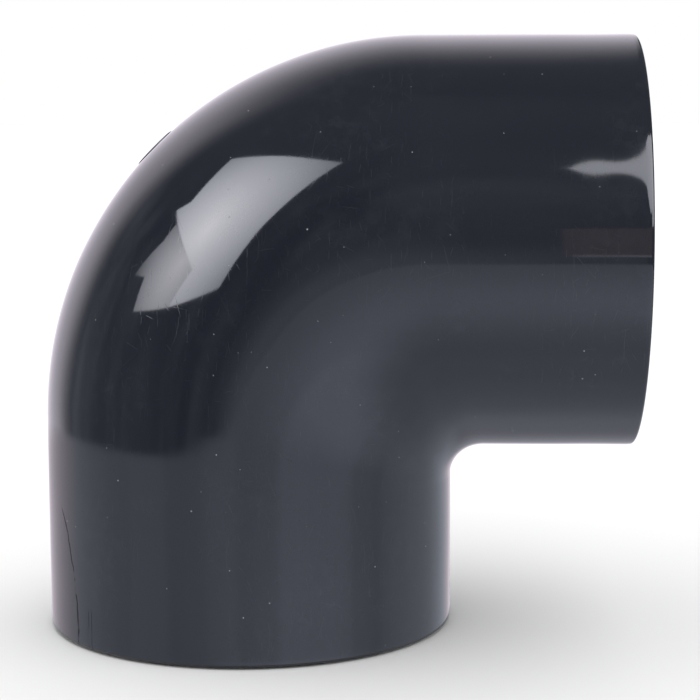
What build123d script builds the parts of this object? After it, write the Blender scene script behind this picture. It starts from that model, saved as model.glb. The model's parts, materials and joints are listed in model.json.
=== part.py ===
from build123d import *
from math import cos, radians, sin, sqrt
import os

os.makedirs("parts", exist_ok=True)

# Short-radius 90 degree solvent-weld socket elbow, one injection moulding.
# Sizes are millimetres. The origin is the centre of the lower mouth, +Z runs
# up the lower socket's axis and +X runs out of the side socket.

# --- driving dimensions -------------------------------------------------
OUTER_D = 75.0  # outside of both sockets
SOCKET_D = 63.2  # mean bore of a socket for 63 mm pipe
SOCKET_DEPTH = 38.0  # mouth to pipe stop
PASSAGE_D = 58.0  # waterway behind the stops
CENTRE_TO_MOUTH = 70.5  # crossing of the two axes to either mouth
HEEL_BEND_R = 32.0  # bend radius of the axis line along the heel
CROTCH_R = 6.0  # rounding in the inner corner
RIM_ROUND = 1.2  # outer edge of each mouth
LEAD_IN = 1.5  # chamfer inside each mouth
GATE_D = 8.6  # moulding gate on the heel
GATE_PROUD = 0.2  # height of the trimmed gate above the heel
GATE_ROOT = 2.0  # how deep the gate runs into the wall

# --- derived places -------------------------------------------------------
OUTER_R = OUTER_D / 2
SOCKET_R = SOCKET_D / 2
PASSAGE_R = PASSAGE_D / 2
PASSAGE_BEND_R = CENTRE_TO_MOUTH - SOCKET_DEPTH
CROTCH_REACH = OUTER_R + CROTCH_R  # axis to the crotch rounding's centre
CROTCH_X = CROTCH_REACH
CROTCH_Z = CENTRE_TO_MOUTH - CROTCH_REACH
HEEL_X = HEEL_BEND_R
HEEL_Z = CENTRE_TO_MOUTH - HEEL_BEND_R
CENTRES_APART = (CROTCH_X - HEEL_X) * sqrt(2)
STRAIGHT_END = 7.0  # degrees of the fan that still cut the straight sockets
FAN_STEP = 15.0


def reach(angle, radius):
    """Distance from the crotch centre, along a fan plane, to a bend line.

    The bend line is a quarter circle of this radius about the heel centre,
    carried on by a straight line towards each mouth.
    """
    side = min(angle, 90 - angle)
    if side <= STRAIGHT_END:
        return (radius + CROTCH_X - HEEL_X) / cos(radians(side))
    offset = radians(angle - 45)
    across = CENTRES_APART * sin(offset)
    return CENTRES_APART * cos(offset) + sqrt(radius**2 - across**2)


fan_angles = [0.0, STRAIGHT_END]
fan_angles += [FAN_STEP * i for i in range(1, 6)]
fan_angles += [90.0 - STRAIGHT_END, 90.0]

side_mouth = Plane.YZ.offset(CENTRE_TO_MOUTH)
passage_axis = Axis((PASSAGE_BEND_R, 0, SOCKET_DEPTH), (0, 1, 0))

with BuildPart() as elbow_body:
    # lower socket barrel
    with BuildSketch(Plane.XY):
        Circle(OUTER_R)
    extrude(amount=CROTCH_Z)

    # side socket barrel
    with BuildSketch(side_mouth):
        with Locations((0, CENTRE_TO_MOUTH)):
            Circle(OUTER_R)
    extrude(amount=-(CENTRE_TO_MOUTH - CROTCH_X))

    # bend: sections fan out from the crotch centre, each one a half ellipse
    # from crotch to flank and another from flank to heel
    for angle in fan_angles:
        flank = reach(angle, HEEL_BEND_R)
        heel = reach(angle, HEEL_BEND_R + OUTER_R)
        tilt = radians(angle)
        fan_plane = Plane(
            origin=(CROTCH_X, 0, CROTCH_Z),
            x_dir=(-cos(tilt), 0, sin(tilt)),
            z_dir=(sin(tilt), 0, cos(tilt)),
        )
        with BuildSketch(fan_plane):
            with BuildLine():
                EllipticalCenterArc(
                    (flank, 0), flank - CROTCH_R, OUTER_R, 90, arc_size=180
                )
                EllipticalCenterArc(
                    (flank, 0), heel - flank, OUTER_R, 270, arc_size=180
                )
            make_face()
    loft()

    # trimmed gate where the plastic entered, square to the heel at 45 degrees
    gate_reach = HEEL_BEND_R + OUTER_R + GATE_PROUD
    gate_plane = Plane(
        origin=(
            HEEL_X - gate_reach * cos(radians(45)),
            0,
            HEEL_Z + gate_reach * sin(radians(45)),
        ),
        z_dir=(-1, 0, 1),
    )
    with BuildSketch(gate_plane):
        Circle(GATE_D / 2)
    extrude(amount=-GATE_ROOT)

    # lower socket, with its stop left as the floor around the passage
    with BuildSketch(Plane.XY):
        Circle(SOCKET_R)
    extrude(amount=SOCKET_DEPTH, mode=Mode.SUBTRACT)

    # side socket
    with BuildSketch(side_mouth):
        with Locations((0, CENTRE_TO_MOUTH)):
            Circle(SOCKET_R)
    extrude(amount=-SOCKET_DEPTH, mode=Mode.SUBTRACT)

    # passage from stop to stop, turned about the line where both stops meet
    with BuildSketch(Plane.XY.offset(SOCKET_DEPTH)):
        Circle(PASSAGE_R)
    revolve(axis=passage_axis, revolution_arc=90, mode=Mode.SUBTRACT)

    # softened outer rims and lead-in chamfers at both mouths
    rings = elbow_body.edges().filter_by(GeomType.CIRCLE)
    lower_rings = rings.filter_by_position(Axis.Z, 0, 0)
    side_rings = rings.filter_by_position(
        Axis.X, CENTRE_TO_MOUTH, CENTRE_TO_MOUTH
    )
    mouth_rings = (lower_rings + side_rings).sort_by(SortBy.RADIUS)
    chamfer(mouth_rings[:2], length=LEAD_IN)
    fillet(mouth_rings[2:], radius=RIM_ROUND)

elbow_body.part.label = "elbow_body"
elbow_body.part.color = Color(0.235, 0.25, 0.29)
export_step(elbow_body.part, "parts/elbow_body.step")
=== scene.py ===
import json
from math import cos, exp, pi, radians, sin, sqrt
import random

import bpy
import numpy as np
from mathutils import Matrix, Quaternion, Vector


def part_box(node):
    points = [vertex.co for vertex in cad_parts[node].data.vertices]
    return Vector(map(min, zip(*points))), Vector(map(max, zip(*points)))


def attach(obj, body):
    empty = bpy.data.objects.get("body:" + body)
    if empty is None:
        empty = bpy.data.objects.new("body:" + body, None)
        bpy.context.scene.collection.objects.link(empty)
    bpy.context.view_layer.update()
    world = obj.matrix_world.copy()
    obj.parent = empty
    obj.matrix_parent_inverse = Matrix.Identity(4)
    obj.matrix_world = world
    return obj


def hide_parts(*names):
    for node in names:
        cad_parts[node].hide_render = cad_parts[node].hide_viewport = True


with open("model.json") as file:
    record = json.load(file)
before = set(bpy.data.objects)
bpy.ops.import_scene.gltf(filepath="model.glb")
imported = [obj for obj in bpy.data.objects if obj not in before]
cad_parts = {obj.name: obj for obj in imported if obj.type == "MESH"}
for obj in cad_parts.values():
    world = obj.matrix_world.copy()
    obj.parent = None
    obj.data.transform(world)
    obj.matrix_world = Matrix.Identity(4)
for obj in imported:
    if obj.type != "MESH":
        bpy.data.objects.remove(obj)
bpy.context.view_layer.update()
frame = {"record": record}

MM = 0.001
MICRON = 0.001 * MM

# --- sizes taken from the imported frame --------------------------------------
NODE = "elbow_body"
node_low, node_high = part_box(NODE)
bores = [m for m in frame["record"]["mounts"] if m["kind"] == "bore"]
OUTER_R = (node_high.y - node_low.y) / 2
CENTRE_TO_MOUTH = node_high.x
SOCKET_R = bores[0]["dims"]["r_mm"] * MM
CENTRE = (Vector(node_low) + Vector(node_high)) / 2

# --- the rest of the fitting's sizes ----------------------------------------
SOCKET_DEPTH = 38.0 * MM
PASSAGE_R = 29.0 * MM
HEEL_BEND_R = 32.0 * MM
CROTCH_R = 6.0 * MM
RIM_ROUND = 0.5 * MM
LEAD_IN = 1.5 * MM
SOCKET_EDGE = 0.15 * MM  # roundings inside each mouth, from the rim inwards
LEAD_EDGE = 0.3 * MM
STOP_ROOT = 0.4 * MM
STOP_EDGE = 0.3 * MM
GATE_R = 4.3 * MM
GATE_PROUD = 0.2 * MM
PASSAGE_BEND_R = CENTRE_TO_MOUTH - SOCKET_DEPTH
CROTCH_X = OUTER_R + CROTCH_R
CROTCH_Z = CENTRE_TO_MOUTH - CROTCH_X
HEEL_Z = CENTRE_TO_MOUTH - HEEL_BEND_R
CENTRES_APART = (CROTCH_X - HEEL_BEND_R) * sqrt(2)
HEEL_R = HEEL_BEND_R + OUTER_R

# --- small marks of moulding ------------------------------------------------
SKIN_INSET = 0.10 * MM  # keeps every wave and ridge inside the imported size
SKIN_R = OUTER_R - SKIN_INSET
WAVE_SLOPE = 0.0045  # long low waves all over the skin
WAVE_LENGTHS = (12 * MM, 45 * MM)
WAVE_COUNT = 24
RIPPLE_SLOPE = radians(0.5)  # a shallow ring in each barrel's skin behind its mouth
RIPPLE_LENGTH = 17.6 * MM
RIPPLE_START = 12.95 * MM
RIPPLE_REACH = 14.0 * MM
RIPPLE_FALL = 4  # how sharply the ring ends at its reach
NOSE_DEPTH = 0.05 * MM  # how far each barrel draws in towards its rim
NOSE_LENGTH = 0.5 * MM
PARTING_HEIGHT = 0.04 * MM
SPARE = 0.01 * MM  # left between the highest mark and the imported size
PARTING_WIDTH = 0.10 * MM
WITNESS_HEIGHT = 0.08 * MM  # ridge where the two cores met inside
WITNESS_WIDTH = radians(0.2)
GATE_EDGE = 0.05 * MM
GATE_ROOT = 1.0 * MM
SCAR_R = 1.5 * MM  # the torn middle of the gate
SCAR_DEPTH = 0.05 * MM
SCAR_FALL = 6
TORN_SLOPE = 0.25
TORN_LENGTHS = (0.5 * MM, 1.6 * MM)
TORN_COUNT = 14
CUT_SHARE = 0.06  # how rough the cut face is beside the scar

# --- mesh fineness ----------------------------------------------------------
COLUMNS = 256
PARTING_COLUMNS = (0.5, 1.0, 2.0, 4.0)  # extra ones beside the parting line, in its widths
BARREL_STEP = 0.9 * MM
RIM_STEPS = 12  # shorter steps beside each rim
RIM_STEP = 0.2 * MM
FAN_STEPS = 112
BORE_STEP = 2.5 * MM
PASSAGE_STEPS = 28
WITNESS_RINGS = (0.5, 1, 2)  # extra ones beside the witness ridge, in its widths
CORNER_STEPS = 5
GATE_SIDES = 72
GATE_STEP = 0.15 * MM

rng = random.Random(7)

# Angles round a ring, from 0 at the heel to half a turn at the crotch, with
# columns close together beside the parting line at both.
parting_offsets = [w * PARTING_WIDTH / OUTER_R for w in PARTING_COLUMNS]
plain_angles = [2 * pi * i / COLUMNS for i in range(COLUMNS)]
extra_angles = [a + s * w for a in (0, pi) for w in parting_offsets for s in (-1, 1)]
around = np.array(sorted({a % (2 * pi) for a in plain_angles + extra_angles}))
COS = np.cos(around)
SIN = np.sin(around)


def ring(centre, heelward, radius, heel_half=None, crotch_half=None):
    """One loop of points square to the bend's plane, from the heel round to the heel.

    The two half widths differ only inside the bend.
    """
    reach_out = np.where(COS > 0, heel_half or radius, crotch_half or radius) * COS
    return np.stack(
        [
            centre[0] + reach_out * heelward[0],
            radius * SIN,
            centre[1] + reach_out * heelward[1],
        ],
        axis=1,
    )


def bend_reach(angle, radius):
    """Distance from the crotch centre, along a fan plane, to a bend line."""
    side = min(angle, pi / 2 - angle)
    straight = (radius + CROTCH_X - HEEL_BEND_R) / cos(side)
    if straight * sin(side) <= HEEL_Z - CROTCH_Z:
        return straight
    offset = angle - pi / 4
    across = CENTRES_APART * sin(offset)
    return CENTRES_APART * cos(offset) + sqrt(radius**2 - across**2)


def fan_ring(angle):
    """The outside of the bend where a fan plane at this angle cuts it."""
    flank = bend_reach(angle, HEEL_BEND_R)
    heel = bend_reach(angle, HEEL_BEND_R + SKIN_R)
    heelward = (-cos(angle), sin(angle))
    centre = (CROTCH_X + flank * heelward[0], CROTCH_Z + flank * heelward[1])
    return ring(centre, heelward, SKIN_R, heel - flank, flank - CROTCH_R - SKIN_INSET)


def lower_ring(inset, radius):
    return ring((0, inset), (-1, 0), radius)


def side_ring(inset, radius):
    return ring((CENTRE_TO_MOUTH - inset, CENTRE_TO_MOUTH), (0, 1), radius)


def passage_ring(angle):
    from_witness = (angle - pi / 4) / WITNESS_WIDTH
    radius = PASSAGE_R - WITNESS_HEIGHT * exp(-(from_witness**2))
    heelward = (-cos(angle), sin(angle))
    centre = (
        PASSAGE_BEND_R + PASSAGE_BEND_R * heelward[0],
        SOCKET_DEPTH + PASSAGE_BEND_R * heelward[1],
    )
    return ring(centre, heelward, radius)


def rounded_path(corners, longest):
    """(inset, radius) points along straight runs whose inner corners are arcs.

    Each corner is (inset, radius, rounding).
    """
    corners = [(np.array(c[:2]), c[2]) for c in corners]
    points = [corners[0][0]]

    def run_to(goal):
        start = points[-1]
        pieces = max(1, round(float(np.linalg.norm(goal - start)) / longest))
        points.extend(start + (goal - start) * i / pieces for i in range(1, pieces + 1))

    for (before, _), (here, rounding), (after, _) in zip(corners, corners[1:], corners[2:]):
        back = (before - here) / np.linalg.norm(before - here)
        onward = (after - here) / np.linalg.norm(after - here)
        half_cos = sqrt((1 + float(back @ onward)) / 2)
        half_sin = sqrt(1 - half_cos**2)
        setback = rounding * half_cos / half_sin
        run_to(here + back * setback)
        for i in range(1, CORNER_STEPS + 1):
            t = i / CORNER_STEPS
            shares = np.array([(1 - t) ** 2, 2 * half_sin * t * (1 - t), t**2])
            arc = [here + back * setback, here, here + onward * setback]
            points.append(shares @ np.array(arc) / shares.sum())
    run_to(corners[-1][0])
    return points


def wave_field(points, slope, lengths, count):
    """Smooth random heights over points, from waves in all directions."""
    shortest, longest = lengths
    heights = np.zeros(points.shape[:-1])
    for _ in range(count):
        length = shortest * (longest / shortest) ** rng.random()
        tilt = np.array([rng.gauss(0, 1) for _ in range(3)])
        wave = tilt / np.linalg.norm(tilt) * 2 * pi / length
        height = slope * length / (2 * pi) * sqrt(2 / count)
        heights += height * np.sin(points @ wave + rng.random() * 2 * pi)
    return heights


def outward(grid):
    """Unit normals of an open band of rings."""
    round_it = np.roll(grid, -1, axis=1) - np.roll(grid, 1, axis=1)
    along_it = np.gradient(grid, axis=0)
    normal = np.cross(along_it, round_it)
    return normal / np.linalg.norm(normal, axis=2, keepdims=True)


def skin_radius(inset):
    return SKIN_R - NOSE_DEPTH * exp(-inset / NOSE_LENGTH)


def mouth_corners():
    """Section of a mouth from the outer skin round the rim to the passage."""
    rim_inner = SOCKET_R + LEAD_IN
    lean = (SKIN_R - skin_radius(RIM_ROUND)) / NOSE_LENGTH
    return [
        (2 * RIM_ROUND, skin_radius(RIM_ROUND) + lean * RIM_ROUND, 0),
        (0, skin_radius(RIM_ROUND) - lean * RIM_ROUND, RIM_ROUND),
        (0, rim_inner, SOCKET_EDGE),
        (LEAD_IN, SOCKET_R, LEAD_EDGE),
        (SOCKET_DEPTH, SOCKET_R, STOP_ROOT),
        (SOCKET_DEPTH, PASSAGE_R, STOP_EDGE),
        (SOCKET_DEPTH + 2 * STOP_EDGE, PASSAGE_R, 0),
    ]


def elbow_rings():
    """The rings of the outer skin and those of the inside, in order round the closed surface."""
    near_rim = RIM_ROUND + RIM_STEPS * RIM_STEP
    barrel_count = round((CROTCH_Z - near_rim) / BARREL_STEP)
    barrel = [RIM_ROUND + RIM_STEP * i for i in range(RIM_STEPS)]
    barrel += [near_rim + (CROTCH_Z - near_rim) * i / barrel_count for i in range(barrel_count)]
    skin = [lower_ring(inset, skin_radius(inset)) for inset in barrel]
    skin += [fan_ring(pi / 2 * i / FAN_STEPS) for i in range(FAN_STEPS + 1)]
    skin += [side_ring(inset, skin_radius(inset)) for inset in reversed(barrel)]

    section = rounded_path(mouth_corners(), BORE_STEP)
    first = next(i for i, p in enumerate(section) if p[0] < RIM_ROUND - MICRON)
    last = max(i for i, p in enumerate(section) if p[1] > PASSAGE_R + MICRON)
    section = section[first : last + 1]
    inside = [side_ring(*p) for p in section]
    turns = [pi / 2 * i / PASSAGE_STEPS for i in range(1, PASSAGE_STEPS)]
    turns += [pi / 4 + side * w * WITNESS_WIDTH for side in (-1, 1) for w in WITNESS_RINGS]
    inside += [passage_ring(turn) for turn in sorted(turns, reverse=True)]
    inside += [lower_ring(*p) for p in reversed(section)]
    return np.array(skin), np.array(inside)


def skin_lift(skin):
    """How far the waves, rings and parting line stand off the plain skin."""
    waves = wave_field(skin, WAVE_SLOPE, WAVE_LENGTHS, WAVE_COUNT)
    from_mouth = np.minimum(skin[:, :, 2], CENTRE_TO_MOUTH - skin[:, :, 0])
    turns = 2 * pi * (from_mouth - RIPPLE_START) / RIPPLE_LENGTH
    ripple = RIPPLE_SLOPE * RIPPLE_LENGTH / (2 * pi) * np.sin(turns)
    ripple *= np.exp(-((from_mouth / RIPPLE_REACH) ** RIPPLE_FALL))
    parting = PARTING_HEIGHT * np.exp(-((skin[:, :, 1] / PARTING_WIDTH) ** 2))
    room = SKIN_INSET - PARTING_HEIGHT - SPARE
    from_rim = (from_mouth - RIM_ROUND).clip(0, None)
    waves *= (from_rim / (2 * RIPPLE_REACH)).clip(0, 1)
    ripple *= (from_rim / RIM_ROUND).clip(0, 1)
    return (waves + ripple).clip(-SKIN_INSET, room) + parting


def build_elbow():
    """The fitting as one closed mesh, skin and inside."""
    skin, inside = elbow_rings()
    skin = skin + outward(skin) * skin_lift(skin)[:, :, None]

    rings = np.concatenate([skin, inside])
    count, columns = rings.shape[:2]
    points = rings.reshape(-1, 3)
    faces = []
    for i in range(count):
        j = (i + 1) % count
        for k in range(columns):
            m = (k + 1) % columns
            faces.append((i * columns + k, j * columns + k, j * columns + m, i * columns + m))
    mesh = bpy.data.meshes.new("elbow")
    mesh.from_pydata(points.tolist(), [], faces)
    uv = mesh.uv_layers.new(name="around_along")
    shares = []
    for i in range(count):
        low, high = i / count, (i + 1) / count
        for k in range(columns):
            left = around[k] / (2 * pi)
            right = around[k + 1] / (2 * pi) if k + 1 < columns else 1.0
            shares += [(left, low), (left, high), (right, high), (right, low)]
    uv.data.foreach_set("uv", np.array(shares).ravel())
    mesh.update()
    mesh.shade_smooth()
    piece = bpy.data.objects.new("elbow", mesh)
    bpy.context.scene.collection.objects.link(piece)
    return piece


def build_gate():
    """The trimmed gate: a low disc that follows the heel, with a torn scar in its middle."""
    flat = GATE_R - GATE_EDGE
    steps = round(flat / GATE_STEP)
    profile = [(flat * i / steps, GATE_PROUD) for i in range(1, steps + 1)]
    bevel = 0.3 * GATE_EDGE
    profile += [
        (GATE_R - bevel, GATE_PROUD - bevel),
        (GATE_R, GATE_PROUD - GATE_EDGE),
        (GATE_R, GATE_PROUD - GATE_EDGE - bevel),
        (GATE_R, -GATE_ROOT),
    ]
    points = [(0.0, 0.0, GATE_PROUD)]
    for radius, height in profile:
        for k in range(GATE_SIDES):
            turn = 2 * pi * k / GATE_SIDES
            points.append((radius * cos(turn), radius * sin(turn), height))
    points.append((0.0, 0.0, -GATE_ROOT))
    points = np.array(points)

    from_axis = np.hypot(points[:, 0], points[:, 1])
    on_top = (points[:, 2] > 0) & (from_axis < flat)
    torn = np.exp(-((from_axis / SCAR_R) ** SCAR_FALL))
    rough = wave_field(points, TORN_SLOPE, TORN_LENGTHS, TORN_COUNT)
    cut = torn * (rough - SCAR_DEPTH) + (1 - torn) * CUT_SHARE * rough
    points[:, 2] += np.where(on_top, cut, 0)
    points[:, 2] -= HEEL_R - np.sqrt(HEEL_R**2 - points[:, 0] ** 2)
    points[:, 2] -= OUTER_R - np.sqrt(OUTER_R**2 - points[:, 1] ** 2)

    last = len(points) - 1
    faces = []
    for k in range(GATE_SIDES):
        m = (k + 1) % GATE_SIDES
        faces.append((0, 1 + k, 1 + m))
        for i in range(len(profile) - 1):
            a = 1 + i * GATE_SIDES
            b = a + GATE_SIDES
            faces.append((a + k, b + k, b + m, a + m))
        a = 1 + (len(profile) - 1) * GATE_SIDES
        faces.append((a + k, last, a + m))
    mesh = bpy.data.meshes.new("gate")
    mesh.from_pydata(points.tolist(), [], faces)
    mesh.shade_smooth()

    along = Vector((1, 0, 1)).normalized()
    heelward = Vector((-1, 0, 1)).normalized()
    turned = Matrix((along, Vector((0, 1, 0)), heelward)).transposed().to_4x4()
    heel = Vector((HEEL_BEND_R, 0, HEEL_Z)) + heelward * (HEEL_R - SKIN_INSET)
    mesh.transform(Matrix.Translation(heel) @ turned)
    piece = bpy.data.objects.new("gate", mesh)
    bpy.context.scene.collection.objects.link(piece)
    return piece


MIX_FIRST, MIX_SECOND, MIX_RESULT = 6, 7, 2  # the colour sockets of a Mix node


class Graph:
    """Short calls for building a node tree."""

    def __init__(self, tree):
        tree.nodes.clear()
        self.tree = tree

    def feed(self, socket, value):
        if isinstance(value, bpy.types.NodeSocket):
            self.tree.links.new(value, socket)
        else:
            socket.default_value = value

    def add(self, kind, inputs=None, **settings):
        node = self.tree.nodes.new(kind)
        for name, value in settings.items():
            setattr(node, name, value)
        for name, value in (inputs or {}).items():
            self.feed(node.inputs[name], value)
        return node

    def math(self, operation, *values, clamp=False):
        node = self.add("ShaderNodeMath", operation=operation, use_clamp=clamp)
        for socket, value in zip(node.inputs, values):
            self.feed(socket, value)
        return node.outputs[0]

    def vector(self, operation, first, second=None):
        node = self.add("ShaderNodeVectorMath", {0: first}, operation=operation)
        if second is not None:
            self.feed(node.inputs[1], second)
        return node.outputs["Value" if operation == "LENGTH" else "Vector"]

    def step(self, value, start, end):
        """A smooth rise from 0 to 1 as the value goes from start to end."""
        inputs = {"Value": value, "From Min": start, "From Max": end}
        node = self.add("ShaderNodeMapRange", inputs, interpolation_type="SMOOTHSTEP")
        return node.outputs["Result"]

    def mix(self, share, first, second):
        node = self.add("ShaderNodeMix", data_type="RGBA", blend_type="MIX")
        self.feed(node.inputs["Factor"], share)
        self.feed(node.inputs[MIX_FIRST], first)
        self.feed(node.inputs[MIX_SECOND], second)
        return node.outputs[MIX_RESULT]

    def noise(self, vector, scale, detail=2.0, roughness=0.5):
        inputs = {"Vector": vector, "Scale": scale, "Detail": detail, "Roughness": roughness}
        return self.add("ShaderNodeTexNoise", inputs).outputs["Fac"]

    def split(self, vector):
        return self.add("ShaderNodeSeparateXYZ", {0: vector}).outputs

    def join(self, x, y, z=0.0):
        return self.add("ShaderNodeCombineXYZ", {0: x, 1: y, 2: z}).outputs[0]


def graph_material(name):
    material = bpy.data.materials.new(name)
    material.use_nodes = True
    graph = Graph(material.node_tree)
    return material, graph, graph.add("ShaderNodeOutputMaterial")


# --- the plastic ----------------------------------------------------------------
SLATE = (0.0098, 0.0115, 0.0178, 1)
SLATE_PALE = (0.0150, 0.0170, 0.0240, 1)
DUST = (0.40, 0.40, 0.42, 1)
CREASE_SHADE_AND_SCUFF = (0.003, 0.003, 0.004, 1)  # painted shade in the weld crease, and the darkening of the scuffs
PVC_IOR = 1.5
POLISH = 0.05  # roughness of the clean skin
SWIRLS = 38.0  # this and the next three are noise scales, per metre
PATCHES = 55.0
BLOOM_GRAINS = 420.0
WORN_PLACES = 30.0
SWIRL_GAIN = 0.5
SWIRL_OFFSET = -0.15
PATCH_LEVELS = (0.46, 0.72)  # noise levels between which each pattern fades in
BLOOM_LEVELS = (0.42, 0.72)
WORN_LEVELS = (0.36, 0.62)
PEEL_SIZE = 2.2 * MM
FLOW_LINES = 24
FLOW_DRIFT = 0.4  # how much the flow lines change from mouth to mouth
SPECK_SPACING = 2.2 * MM
SPECK_R = 0.16 * MM
SPECK_DUST = 0.5
SCRATCH_CELLS = (1.7 * MM, 3.4 * MM, 7.5 * MM)  # one scratch in some cells of each size
SCRATCH_CHANCES = (0.35, 1.0)  # a cell's random number, from no scratch to a full one
SCRATCH_WIDTH = 0.06 * MM
SCRATCH_BOW = 40.0  # the strongest bow, per metre
SCRATCH_FACING = (0.50, 0.85)  # how squarely a side is faced, from no scratches to full ones
SCRATCH_DUST = 0.04
# how far the painted crease shade and the scuff darkening go towards near-black
CREASE_SHADE_AND_SCUFF_SHARE = 0.8
WELD_LOW = radians(40.1)  # where the weld line starts at the lower mouth, round from the heel
WELD_SWING = radians(9.5)
WELD_HEIGHT = 25 * MM
WELD_WIDTH = 0.18 * MM
WELD_CURVE = 2.4
WELD_WOBBLE = radians(1.8)
WELD_WOBBLES = 210.0  # noise scales, per metre
WELD_BREAKS = 330.0
WELD_BREAK_LEVELS = (0.48, 0.60)
WELD_MENDS = 0.22  # how much less broken it is at its top
WELD_END = (1.0, 0.93)  # shares of its height over which it fades out
SCUFF_LENGTH = 5 * MM
SCUFF_REACH = 8 * MM
SCUFF_SPACING = 0.8 * MM
SCUFF_HALF_WIDTH = (0.20, 0.06)  # in spacings, from nothing to full strength
SCUFF_PATCHES = 1.3
SCUFF_LEVELS = (0.24, 0.42)
SCUFF_DEPTH = 0.7  # as a share of the crease's
RUBBED_AT = 1 - 46.3 / 360  # a rubbed place on the lower rim, as a share of the way round
RUBBED_REACH = 2.1 / 360
CUTS_ACROSS = 9000.0  # blade marks on the gate: noise scales across them and along them
CUTS_ALONG = 500.0
CUT_LEVELS = (0.4, 0.7)
CUT_POLISH = 0.22  # roughness where no blade mark is


def both(graph, *shares):
    """The product of several shares."""
    total = shares[0]
    for share in shares[1:]:
        total = graph.math("MULTIPLY", total, share)
    return total


def cells(graph, scale, dimensions, **place):
    """Random cells: distance to the nearest one's point, its position and its random colour."""
    inputs = {**place, "Scale": scale}
    return graph.add("ShaderNodeTexVoronoi", inputs, voronoi_dimensions=dimensions).outputs


def hairlines(graph, flat, cell):
    """Short bowed lines, mostly upright, in some of the cells of a flat projection."""
    found = cells(graph, 1 / cell, "2D", Vector=flat)
    from_point = graph.vector("SUBTRACT", flat, found["Position"])
    chance, turn, bow = graph.split(found["Color"])
    from_upright = graph.math("POWER", graph.math("MULTIPLY_ADD", turn, 2.0, -1.0), 3.0)
    angle = graph.math("MULTIPLY_ADD", from_upright, pi / 2, pi / 2)
    rotate = {"Vector": from_point, "Angle": angle}
    turned = graph.add("ShaderNodeVectorRotate", rotate, rotation_type="Z_AXIS").outputs[0]
    along, across, _ = graph.split(turned)
    bow = graph.math("MULTIPLY_ADD", bow, 2 * SCRATCH_BOW, -SCRATCH_BOW)
    off = graph.math("ABSOLUTE", graph.math("ADD", across, both(graph, along, along, bow)))
    thin = graph.step(off, SCRATCH_WIDTH, 0.2 * SCRATCH_WIDTH)
    ends = graph.step(graph.math("ABSOLUTE", along), 0.5 * cell, 0.25 * cell)
    return both(graph, thin, ends, graph.step(chance, *SCRATCH_CHANCES))


def scratches(graph, place, normal):
    """Fine scratches on each side of the body, fading where the surface turns away."""
    x, y, z = graph.split(place)
    facing = graph.split(graph.vector("ABSOLUTE", normal))
    sides = (
        (graph.join(x, z), facing[1]),
        (graph.join(y, z), facing[0]),
        (graph.join(x, y), facing[2]),
    )
    total = 0.0
    for flat, straight_on in sides:
        seen = graph.step(straight_on, *SCRATCH_FACING)
        for cell in SCRATCH_CELLS:
            lines = both(graph, hairlines(graph, flat, cell), seen)
            total = graph.math("ADD", total, lines, clamp=True)
    return total


def specks(graph, place):
    """Dust grains where random points in space fall on the surface."""
    found = cells(graph, 1 / SPECK_SPACING, "3D", Vector=place)
    size = graph.split(found["Color"])[0]
    reach = both(graph, size, size, SPECK_R / SPECK_SPACING)
    inside = graph.math("SUBTRACT", reach, found["Distance"])
    return graph.step(inside, 0.0, 0.3 * SPECK_R / SPECK_SPACING)


def weld_line(graph, place):
    """A thin, broken crease that climbs the lower barrel between its heel and its front."""
    x, y, z = graph.split(place)
    round_it = graph.math("ARCTAN2", both(graph, y, -1.0), both(graph, x, -1.0))
    climb = graph.math("DIVIDE", z, WELD_HEIGHT, clamp=True)
    swing = graph.math("POWER", climb, WELD_CURVE)
    uneven = graph.noise(place, WELD_WOBBLES)
    wobble = graph.math("MULTIPLY_ADD", uneven, 2 * WELD_WOBBLE, -WELD_WOBBLE)
    line = graph.math("MULTIPLY_ADD", swing, -WELD_SWING, WELD_LOW)
    off = graph.math("SUBTRACT", graph.math("SUBTRACT", round_it, line), wobble)
    width = WELD_WIDTH / OUTER_R
    thin = graph.step(graph.math("ABSOLUTE", off), 2 * width, 0.3 * width)
    kept = graph.math("MULTIPLY_ADD", climb, WELD_MENDS, graph.noise(place, WELD_BREAKS))
    return both(
        graph,
        thin,
        graph.step(kept, *WELD_BREAK_LEVELS),
        graph.step(climb, *WELD_END),
    )


def rim_scuffs(graph, around, place):
    """A few short streaks up the barrel where the lower rim was rubbed."""
    z = graph.split(place)[2]
    column = both(graph, around, 2 * pi * OUTER_R / SCUFF_SPACING)
    line = graph.step(cells(graph, 1.0, "1D", W=column)["Distance"], *SCUFF_HALF_WIDTH)
    stretched = graph.join(column, both(graph, z, 1 / SCUFF_LENGTH))
    patchy = graph.step(graph.noise(stretched, SCUFF_PATCHES), *SCUFF_LEVELS)
    from_rubbed = graph.math("ABSOLUTE", graph.math("SUBTRACT", around, RUBBED_AT))
    rubbed = graph.step(from_rubbed, RUBBED_REACH, 0.7 * RUBBED_REACH)
    low = graph.step(z, SCUFF_REACH, 0.8 * SCUFF_REACH)
    return both(graph, line, patchy, rubbed, low)


def finish_plastic(material, graph, out, look, height):
    """Give the material a plastic shader with a bump of the given height."""
    bump = graph.add("ShaderNodeBump", {"Height": height, "Strength": 1.0, "Distance": 1.0})
    look = {**look, "IOR": PVC_IOR, "Normal": bump.outputs["Normal"]}
    shader = graph.add("ShaderNodeBsdfPrincipled", look)
    graph.feed(out.inputs["Surface"], shader.outputs[0])
    return material


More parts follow.
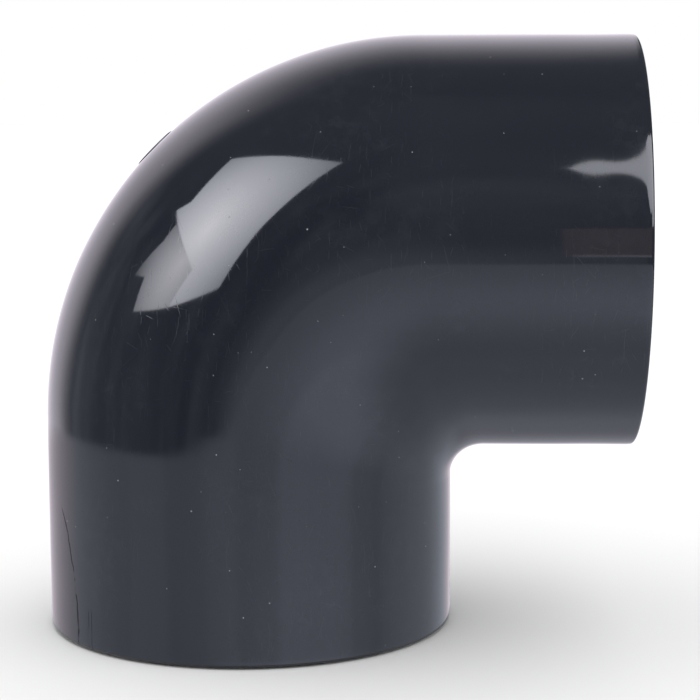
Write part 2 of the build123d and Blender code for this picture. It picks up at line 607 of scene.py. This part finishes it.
def pvc_material():
    """Glossy slate grey with flow lines, bloom, scratches, dust, a crease with painted shade and
    a few darkened scuffs.
    """
    material, graph, out = graph_material("grey_pvc")
    coords = graph.add("ShaderNodeTexCoord").outputs
    place = coords["Object"]
    around, along, _ = graph.split(coords["UV"])
    normal = graph.add("ShaderNodeNewGeometry").outputs["Normal"]

    # two close slates in slow swirls, with a thin uneven bloom over them
    swirl = graph.noise(place, SWIRLS, 4.0, 0.6)
    swirl = graph.math("MULTIPLY_ADD", swirl, SWIRL_GAIN, SWIRL_OFFSET)
    patches = graph.step(graph.noise(place, PATCHES, 3.0, 0.6), *PATCH_LEVELS)
    bloom = graph.step(graph.noise(place, BLOOM_GRAINS, 3.0, 0.7), *BLOOM_LEVELS)
    pale = graph.math("ADD", swirl, both(graph, patches, bloom), clamp=True)
    colour = graph.mix(pale, SLATE, SLATE_PALE)

    # marks of handling and storage, and a crease; painted shade darkens the crease and the scuffs
    worn = graph.step(graph.noise(place, WORN_PLACES), *WORN_LEVELS)
    fine = both(graph, scratches(graph, place, normal), worn)
    grain = specks(graph, place)
    crease = weld_line(graph, place)
    scuff = rim_scuffs(graph, around, place)
    crease_shade_and_scuffs = graph.math("ADD", crease, both(graph, scuff, SCUFF_DEPTH), clamp=True)
    colour = graph.mix(both(graph, fine, SCRATCH_DUST), colour, DUST)
    colour = graph.mix(both(graph, grain, SPECK_DUST), colour, DUST)
    # painted shade: the crease and the scuffs are darkened towards near-black
    colour = graph.mix(both(graph, crease_shade_and_scuffs, CREASE_SHADE_AND_SCUFF_SHARE), colour, CREASE_SHADE_AND_SCUFF)

    # flow lines run from mouth to mouth, taken round a circle so that they meet
    turn = both(graph, around, 2 * pi)
    onward = both(graph, along, FLOW_DRIFT)
    circle = graph.join(graph.math("COSINE", turn), graph.math("SINE", turn), onward)
    flow = graph.noise(circle, FLOW_LINES, 2.0, 0.6)
    peel = graph.noise(place, 1 / PEEL_SIZE)

    # each pattern has its own share of the roughness and of the height; grooves are below 0
    rough = graph.math("MULTIPLY_ADD", patches, 0.03, POLISH)
    for pattern, share in ((fine, 0.16), (crease_shade_and_scuffs, 0.35)):
        rough = graph.math("MULTIPLY_ADD", pattern, share, rough)
    rough = graph.math("MULTIPLY_ADD", grain, 0.5, rough, clamp=True)
    height = both(graph, peel, 0.9 * MICRON)
    for pattern, rise in ((flow, 1.1), (fine, -1.2), (crease_shade_and_scuffs, -12.0), (grain, 25.0)):
        height = graph.math("MULTIPLY_ADD", pattern, rise * MICRON, height)

    dulled = graph.math("MULTIPLY_ADD", crease_shade_and_scuffs, -0.4, 0.5)
    look = {"Base Color": colour, "Roughness": rough, "Specular IOR Level": dulled}
    return finish_plastic(material, graph, out, look, height)


def gate_material():
    """The same plastic where a blade trimmed it."""
    material, graph, out = graph_material("grey_pvc_trimmed")
    place = graph.add("ShaderNodeTexCoord").outputs["Object"]
    x, y, z = graph.split(place)
    uphill = graph.math("ADD", x, z)
    strokes = graph.join(both(graph, y, CUTS_ACROSS), both(graph, uphill, CUTS_ALONG))
    cuts = graph.noise(strokes, 1.0)
    colour = graph.mix(graph.step(cuts, *CUT_LEVELS), SLATE, SLATE_PALE)
    rough = graph.math("MULTIPLY_ADD", cuts, 0.25, CUT_POLISH)
    look = {"Base Color": colour, "Roughness": rough}
    return finish_plastic(material, graph, out, look, both(graph, cuts, 8 * MICRON))


# --- studio -------------------------------------------------------------------
# Azimuths and elevations are in degrees as seen from the fitting. A pair of one kind
# is where a soft edge starts and ends.
TABLE = (0.72, 0.77, 0.88, 1)
TABLE_POOL = (1.45, 1.53, 1.82, 1)
POOL_MIDDLE = (33, -28)  # azimuth and elevation
POOL_WIDTHS = (45, 18)
TABLE_EDGE = (-8.7, -9.7)  # elevations
UNEVEN_GAIN = 0.3
UNEVEN_OFFSET = -0.12
TABLE_SHADE = (0.52, 0.53, 0.60, 1)  # on the table's back, well below its edge
SHADE_EDGE = (-15, -27)  # elevations
TABLE_STREAKS = [  # paler and darker ones: azimuths of start and end, and strength
    (-66, -42, 0.08),
    (-41, -20, -0.09),
    (-16, -4, 0.05),
    (-3, 20, -0.14),
    (21, 62, 0.11),
    (64, 84, -0.13),
    (90, 112, 0.05),
]
STREAK_EDGE = 4
STREAK_HEIGHT = (-12, 30)  # middle and width in elevation
SHEET = (1.20, 1.12, 1.26, 1)
SHEET_TOP = (70, 30)  # elevations
SHEET_LEFT = (-110, -134)  # azimuths
SHEET_RIGHT = (164, 174)
SHEET_FOOT = (0.93, 0.84, 0.94, 1)  # where it sweeps down over the table's back
FOOT_LEFT = (-99, -129)  # azimuths
FOOT_RIGHT = (145, 165)
FOOT_END = (-70, -45)  # elevations
ROOM_DARK = (0.10, 0.11, 0.125, 1)
ROOM_DIM = (0.33, 0.35, 0.40, 1)
ROOM_LIT = (0.80, 0.86, 0.98, 1)
ROOM_STRETCH = (3.5, 3.5, 1.2)  # the room's unevenness runs upright
ROOM_PATCHES = 1.6
ROOM_LEVELS = (0.35, 0.75)
CEILING_EDGE = (25, 55)  # elevations between which the room turns plain
CEILING_SHARE = 0.4
ROOM_THINGS = [  # azimuth, elevation, two widths and brightness of dim things
    (-104, 0, 13, 22, 0.30),
    (-60, 0, 8, 14, 0.22),
    (-80, 0, 10, 18, 0.14),
    (-3, -9, 8, 8, 0.65),
    (0, 25, 7, 40, 0.22),
    (0, 78, 60, 18, 0.12),
]
WHITE = (1.0, 1.0, 1.0, 1)
SOFT = (1.4, 1.4, 1.4, 1)
PANEL_DISTANCE = 1.2
MAIN_AT = (-54, 33)  # azimuth and elevation of each panel
RIGHT_AT = (46.5, 37)
FAR_BOX_AT = (13, 3.1)
FAR_SHELF_AT = (13, -3.9)
PANEL_MIDDLE = (1.0, 0.985, 1.05, 1)
PANEL_EDGE = (1.0, 1.04, 1.15, 1)
FAR_BOX = (1.0, 0.84, 0.84, 1)
FLOOR_WHITE = (0.8, 0.8, 0.8, 1)
FLOOR_HALF = 20.0
FLOOR_DROP = 0.4 * MM
UNDER_DROP = 0.2 * MM
UNDER_MARGIN = 1.0 * MM
UNDER_SIDES = 64
CAMERA_AT = (2.29, 6.91)  # azimuth and elevation
CAMERA_DISTANCE = 358.3 * MM
CAMERA_LENS = 99.1
CAMERA_SENSOR = 36.0
CAMERA_CLIP = (0.02, 50.0)
CAMERA_ROLL = radians(-0.165)
AIM_OFFSET = Vector((2.27, 0, -3.89)) * MM  # from the fitting's centre


def toward(azimuth, elevation):
    """Unit direction; azimuth 0 is towards the front, 90 towards the side mouth."""
    a, e = radians(azimuth), radians(elevation)
    return Vector((sin(a) * cos(e), -cos(a) * cos(e), sin(e)))


def add_stage(name, points, material):
    """A flat piece of the studio, made of one face."""
    mesh = bpy.data.meshes.new(name)
    mesh.from_pydata([(*p, 0) for p in points], [], [range(len(points))])
    mesh.materials.append(material)
    piece = bpy.data.objects.new(name, mesh)
    bpy.context.scene.collection.objects.link(piece)
    return piece


def polygon(radius, sides):
    turns = [2 * pi * (i + 0.5) / sides for i in range(sides)]
    return [(radius * cos(t), radius * sin(t)) for t in turns]


def glow_material(name, middle, edge, brightest, spread, middle_tint, edge_tint):
    """Cloth lit from behind, fading from its brightest point to its farthest corner."""
    material, graph, out = graph_material(name)
    place = graph.add("ShaderNodeTexCoord").outputs["Object"]
    off = graph.vector("LENGTH", graph.vector("SUBTRACT", place, (*brightest, 0)))
    from_middle = graph.math("DIVIDE", off, spread, clamp=True)
    level = graph.math("MULTIPLY_ADD", from_middle, edge - middle, middle)
    tint = graph.mix(from_middle, middle_tint, edge_tint)
    glow = graph.add("ShaderNodeEmission", {"Color": tint, "Strength": level})
    graph.feed(out.inputs["Surface"], glow.outputs[0])
    return material


def softbox(name, at, outline, middle, edge, brightest=(0, 0), tints=(PANEL_MIDDLE, PANEL_EDGE)):
    """A glowing panel that faces the object from an azimuth and elevation.

    Its outline and its brightest point are in units of its distance.
    """
    back = toward(*at)
    spread = max(sqrt((x - brightest[0]) ** 2 + (y - brightest[1]) ** 2) for x, y in outline)
    piece = add_stage(name, outline, glow_material(name, middle, edge, brightest, spread, *tints))
    piece.scale = (PANEL_DISTANCE,) * 3
    piece.location = CENTRE + back * PANEL_DISTANCE
    piece.rotation_mode = "QUATERNION"
    piece.rotation_quaternion = back.to_track_quat("Z", "Y")
    piece.visible_camera = False
    piece.visible_diffuse = False


def oblong(half_width, half_height):
    return [
        (-half_width, -half_height),
        (half_width, -half_height),
        (half_width, half_height),
        (-half_width, half_height),
    ]


def floor_material():
    material, graph, out = graph_material("pale_floor")
    cloth = graph.add("ShaderNodeBsdfDiffuse", {"Color": FLOOR_WHITE})
    graph.feed(out.inputs["Surface"], cloth.outputs[0])
    return material


def spot(graph, azimuth, elevation, middle, widths):
    """A soft oval round a direction, given with its widths in degrees."""
    total = 0.0
    for angle, at, width in zip((azimuth, elevation), middle, widths):
        off = graph.math("MULTIPLY_ADD", angle, 1 / radians(width), -at / width)
        total = graph.math("MULTIPLY_ADD", off, off, total)
    return graph.math("EXPONENT", both(graph, total, -1.0))


def between(graph, angle, ends):
    """A smooth rise from 0 to 1 between two angles in degrees."""
    return graph.step(angle, *(radians(end) for end in ends))


def room_colour(graph, direction, azimuth, elevation):
    """A dim uneven room with a white sheet hung behind the table."""
    tall = graph.vector("MULTIPLY", direction, ROOM_STRETCH)
    things = graph.step(graph.noise(tall, ROOM_PATCHES, 3.0), *ROOM_LEVELS)
    plain = graph.math("SUBTRACT", CEILING_SHARE, things)
    things = graph.math("MULTIPLY_ADD", plain, between(graph, elevation, CEILING_EDGE), things)
    room = graph.mix(things, ROOM_DARK, ROOM_DIM)
    for at_azimuth, at_elevation, wide, high, share in ROOM_THINGS:
        seen = spot(graph, azimuth, elevation, (at_azimuth, at_elevation), (wide, high))
        room = graph.mix(both(graph, seen, share), room, ROOM_LIT)
    left = between(graph, azimuth, SHEET_LEFT)
    behind = graph.math("ADD", left, between(graph, azimuth, SHEET_RIGHT), clamp=True)
    hung = between(graph, elevation, SHEET_TOP)
    return graph.mix(both(graph, behind, hung), room, SHEET)


def table_colour(graph, direction, azimuth, elevation):
    """A pale streaked table with a pool of light, and the sheet's foot over its back."""
    pool = spot(graph, azimuth, elevation, POOL_MIDDLE, POOL_WIDTHS)
    middle, width = STREAK_HEIGHT
    near_edge = spot(graph, 0.0, elevation, (0, middle), (1, width))
    for start, end, strength in TABLE_STREAKS:
        after = between(graph, azimuth, (start - STREAK_EDGE, start + STREAK_EDGE))
        before = between(graph, azimuth, (end + STREAK_EDGE, end - STREAK_EDGE))
        streak = both(graph, after, before, near_edge)
        pool = graph.math("MULTIPLY_ADD", streak, strength, pool)
    uneven = graph.noise(direction, 3.0)
    uneven = graph.math("MULTIPLY_ADD", uneven, UNEVEN_GAIN, UNEVEN_OFFSET)
    table = graph.mix(graph.math("ADD", pool, uneven, clamp=True), TABLE, TABLE_POOL)
    left = between(graph, azimuth, FOOT_LEFT)
    back = graph.math("MAXIMUM", left, between(graph, azimuth, FOOT_RIGHT))
    foot = graph.mix(between(graph, elevation, SHADE_EDGE), SHEET_FOOT, TABLE_SHADE)
    covered = both(graph, back, between(graph, elevation, FOOT_END))
    return graph.mix(covered, table, foot)


def studio_world():
    """The gloss sees the room and the table, the camera white, and all else an even light."""
    world = bpy.data.worlds.new("studio")
    bpy.context.scene.world = world
    world.use_nodes = True
    graph = Graph(world.node_tree)
    direction = graph.add("ShaderNodeTexCoord").outputs["Generated"]
    x, y, z = graph.split(direction)
    azimuth = graph.math("ARCTAN2", x, both(graph, y, -1.0))
    elevation = graph.math("ARCSINE", z)
    room = room_colour(graph, direction, azimuth, elevation)
    table = table_colour(graph, direction, azimuth, elevation)
    seen = graph.mix(between(graph, elevation, TABLE_EDGE), room, table)

    ray = graph.add("ShaderNodeLightPath").outputs
    light = graph.mix(ray["Is Glossy Ray"], SOFT, seen)
    light = graph.mix(ray["Is Camera Ray"], light, WHITE)
    background = graph.add("ShaderNodeBackground", {"Color": light, "Strength": 1.0})
    out = graph.add("ShaderNodeOutputWorld")
    graph.feed(out.inputs["Surface"], background.outputs[0])


def place_camera():
    back = toward(*CAMERA_AT)
    data = bpy.data.cameras.new("camera")
    data.lens = CAMERA_LENS
    data.sensor_width = CAMERA_SENSOR
    data.clip_start, data.clip_end = CAMERA_CLIP
    camera = bpy.data.objects.new("camera", data)
    camera.location = CENTRE + AIM_OFFSET + back * CAMERA_DISTANCE
    camera.rotation_mode = "QUATERNION"
    roll = Quaternion((0, 0, 1), CAMERA_ROLL)
    camera.rotation_quaternion = (-back).to_track_quat("-Z", "Y") @ roll
    bpy.context.scene.collection.objects.link(camera)
    bpy.context.scene.camera = camera


elbow = build_elbow()
elbow.data.materials.append(pvc_material())
gate = build_gate()
gate.data.materials.append(gate_material())
for piece in (elbow, gate):
    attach(piece, "root")
    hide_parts(NODE)

# the main softbox has a loose flap of cloth at its lower left, a little dimmer
main_cloth = [
    (-0.38, 0.405),
    (-0.38, 0.16),
    (-0.47, 0.135),
    (0.05, -0.20),
    (0.0, -0.33),
    (0.385, -0.335),
    (0.355, -0.05),
    (0.365, 0.12),
    (0.395, 0.385),
]
loose_flap = [
    (-0.36, 0.06),
    (-0.38, -0.02),
    (-0.545, -0.155),
    (-0.39, -0.175),
    (-0.385, -0.315),
    (0.0, -0.33),
    (0.05, -0.20),
]
softbox("softbox_main", MAIN_AT, main_cloth, middle=12.6, edge=2.8, brightest=(-0.04, -0.01))
softbox("softbox_flap", MAIN_AT, loose_flap, middle=8.6, edge=0.8, brightest=(-0.08, -0.15))

# the second softbox slopes down towards its right
right_cloth = [
    (-0.528, 0.225),
    (-0.302, 0.425),
    (-0.19, 0.437),
    (0.005, 0.332),
    (0.307, 0.205),
    (0.482, 0.056),
    (0.623, -0.19),
    (0.672, -0.555),
    (-0.111, -0.522),
    (-0.525, -0.466),
    (-0.597, -0.093),
]
softbox("softbox_right", RIGHT_AT, right_cloth, middle=7.6, edge=3.6)

# a dim box across the room, with a bright edge under it
rosy = (FAR_BOX, FAR_BOX)
softbox("far_box", FAR_BOX_AT, oblong(0.13, 0.13), middle=0.5, edge=0.5, tints=rosy)
softbox("far_shelf", FAR_SHELF_AT, oblong(0.115, 0.008), middle=1.3, edge=1.3)

ground = floor_material()
floor = add_stage("floor", oblong(FLOOR_HALF, FLOOR_HALF), ground)
floor.location.z = -FLOOR_DROP
floor.visible_glossy = False

# the gloss sees the floor only close under the fitting
under = add_stage("floor_under", polygon(OUTER_R + UNDER_MARGIN, UNDER_SIDES), ground)
under.location.z = -UNDER_DROP
under.visible_camera = False
under.visible_diffuse = False
studio_world()
place_camera()

view_settings = bpy.context.scene.view_settings
view_settings.view_transform = "Standard"
view_settings.look = "None"
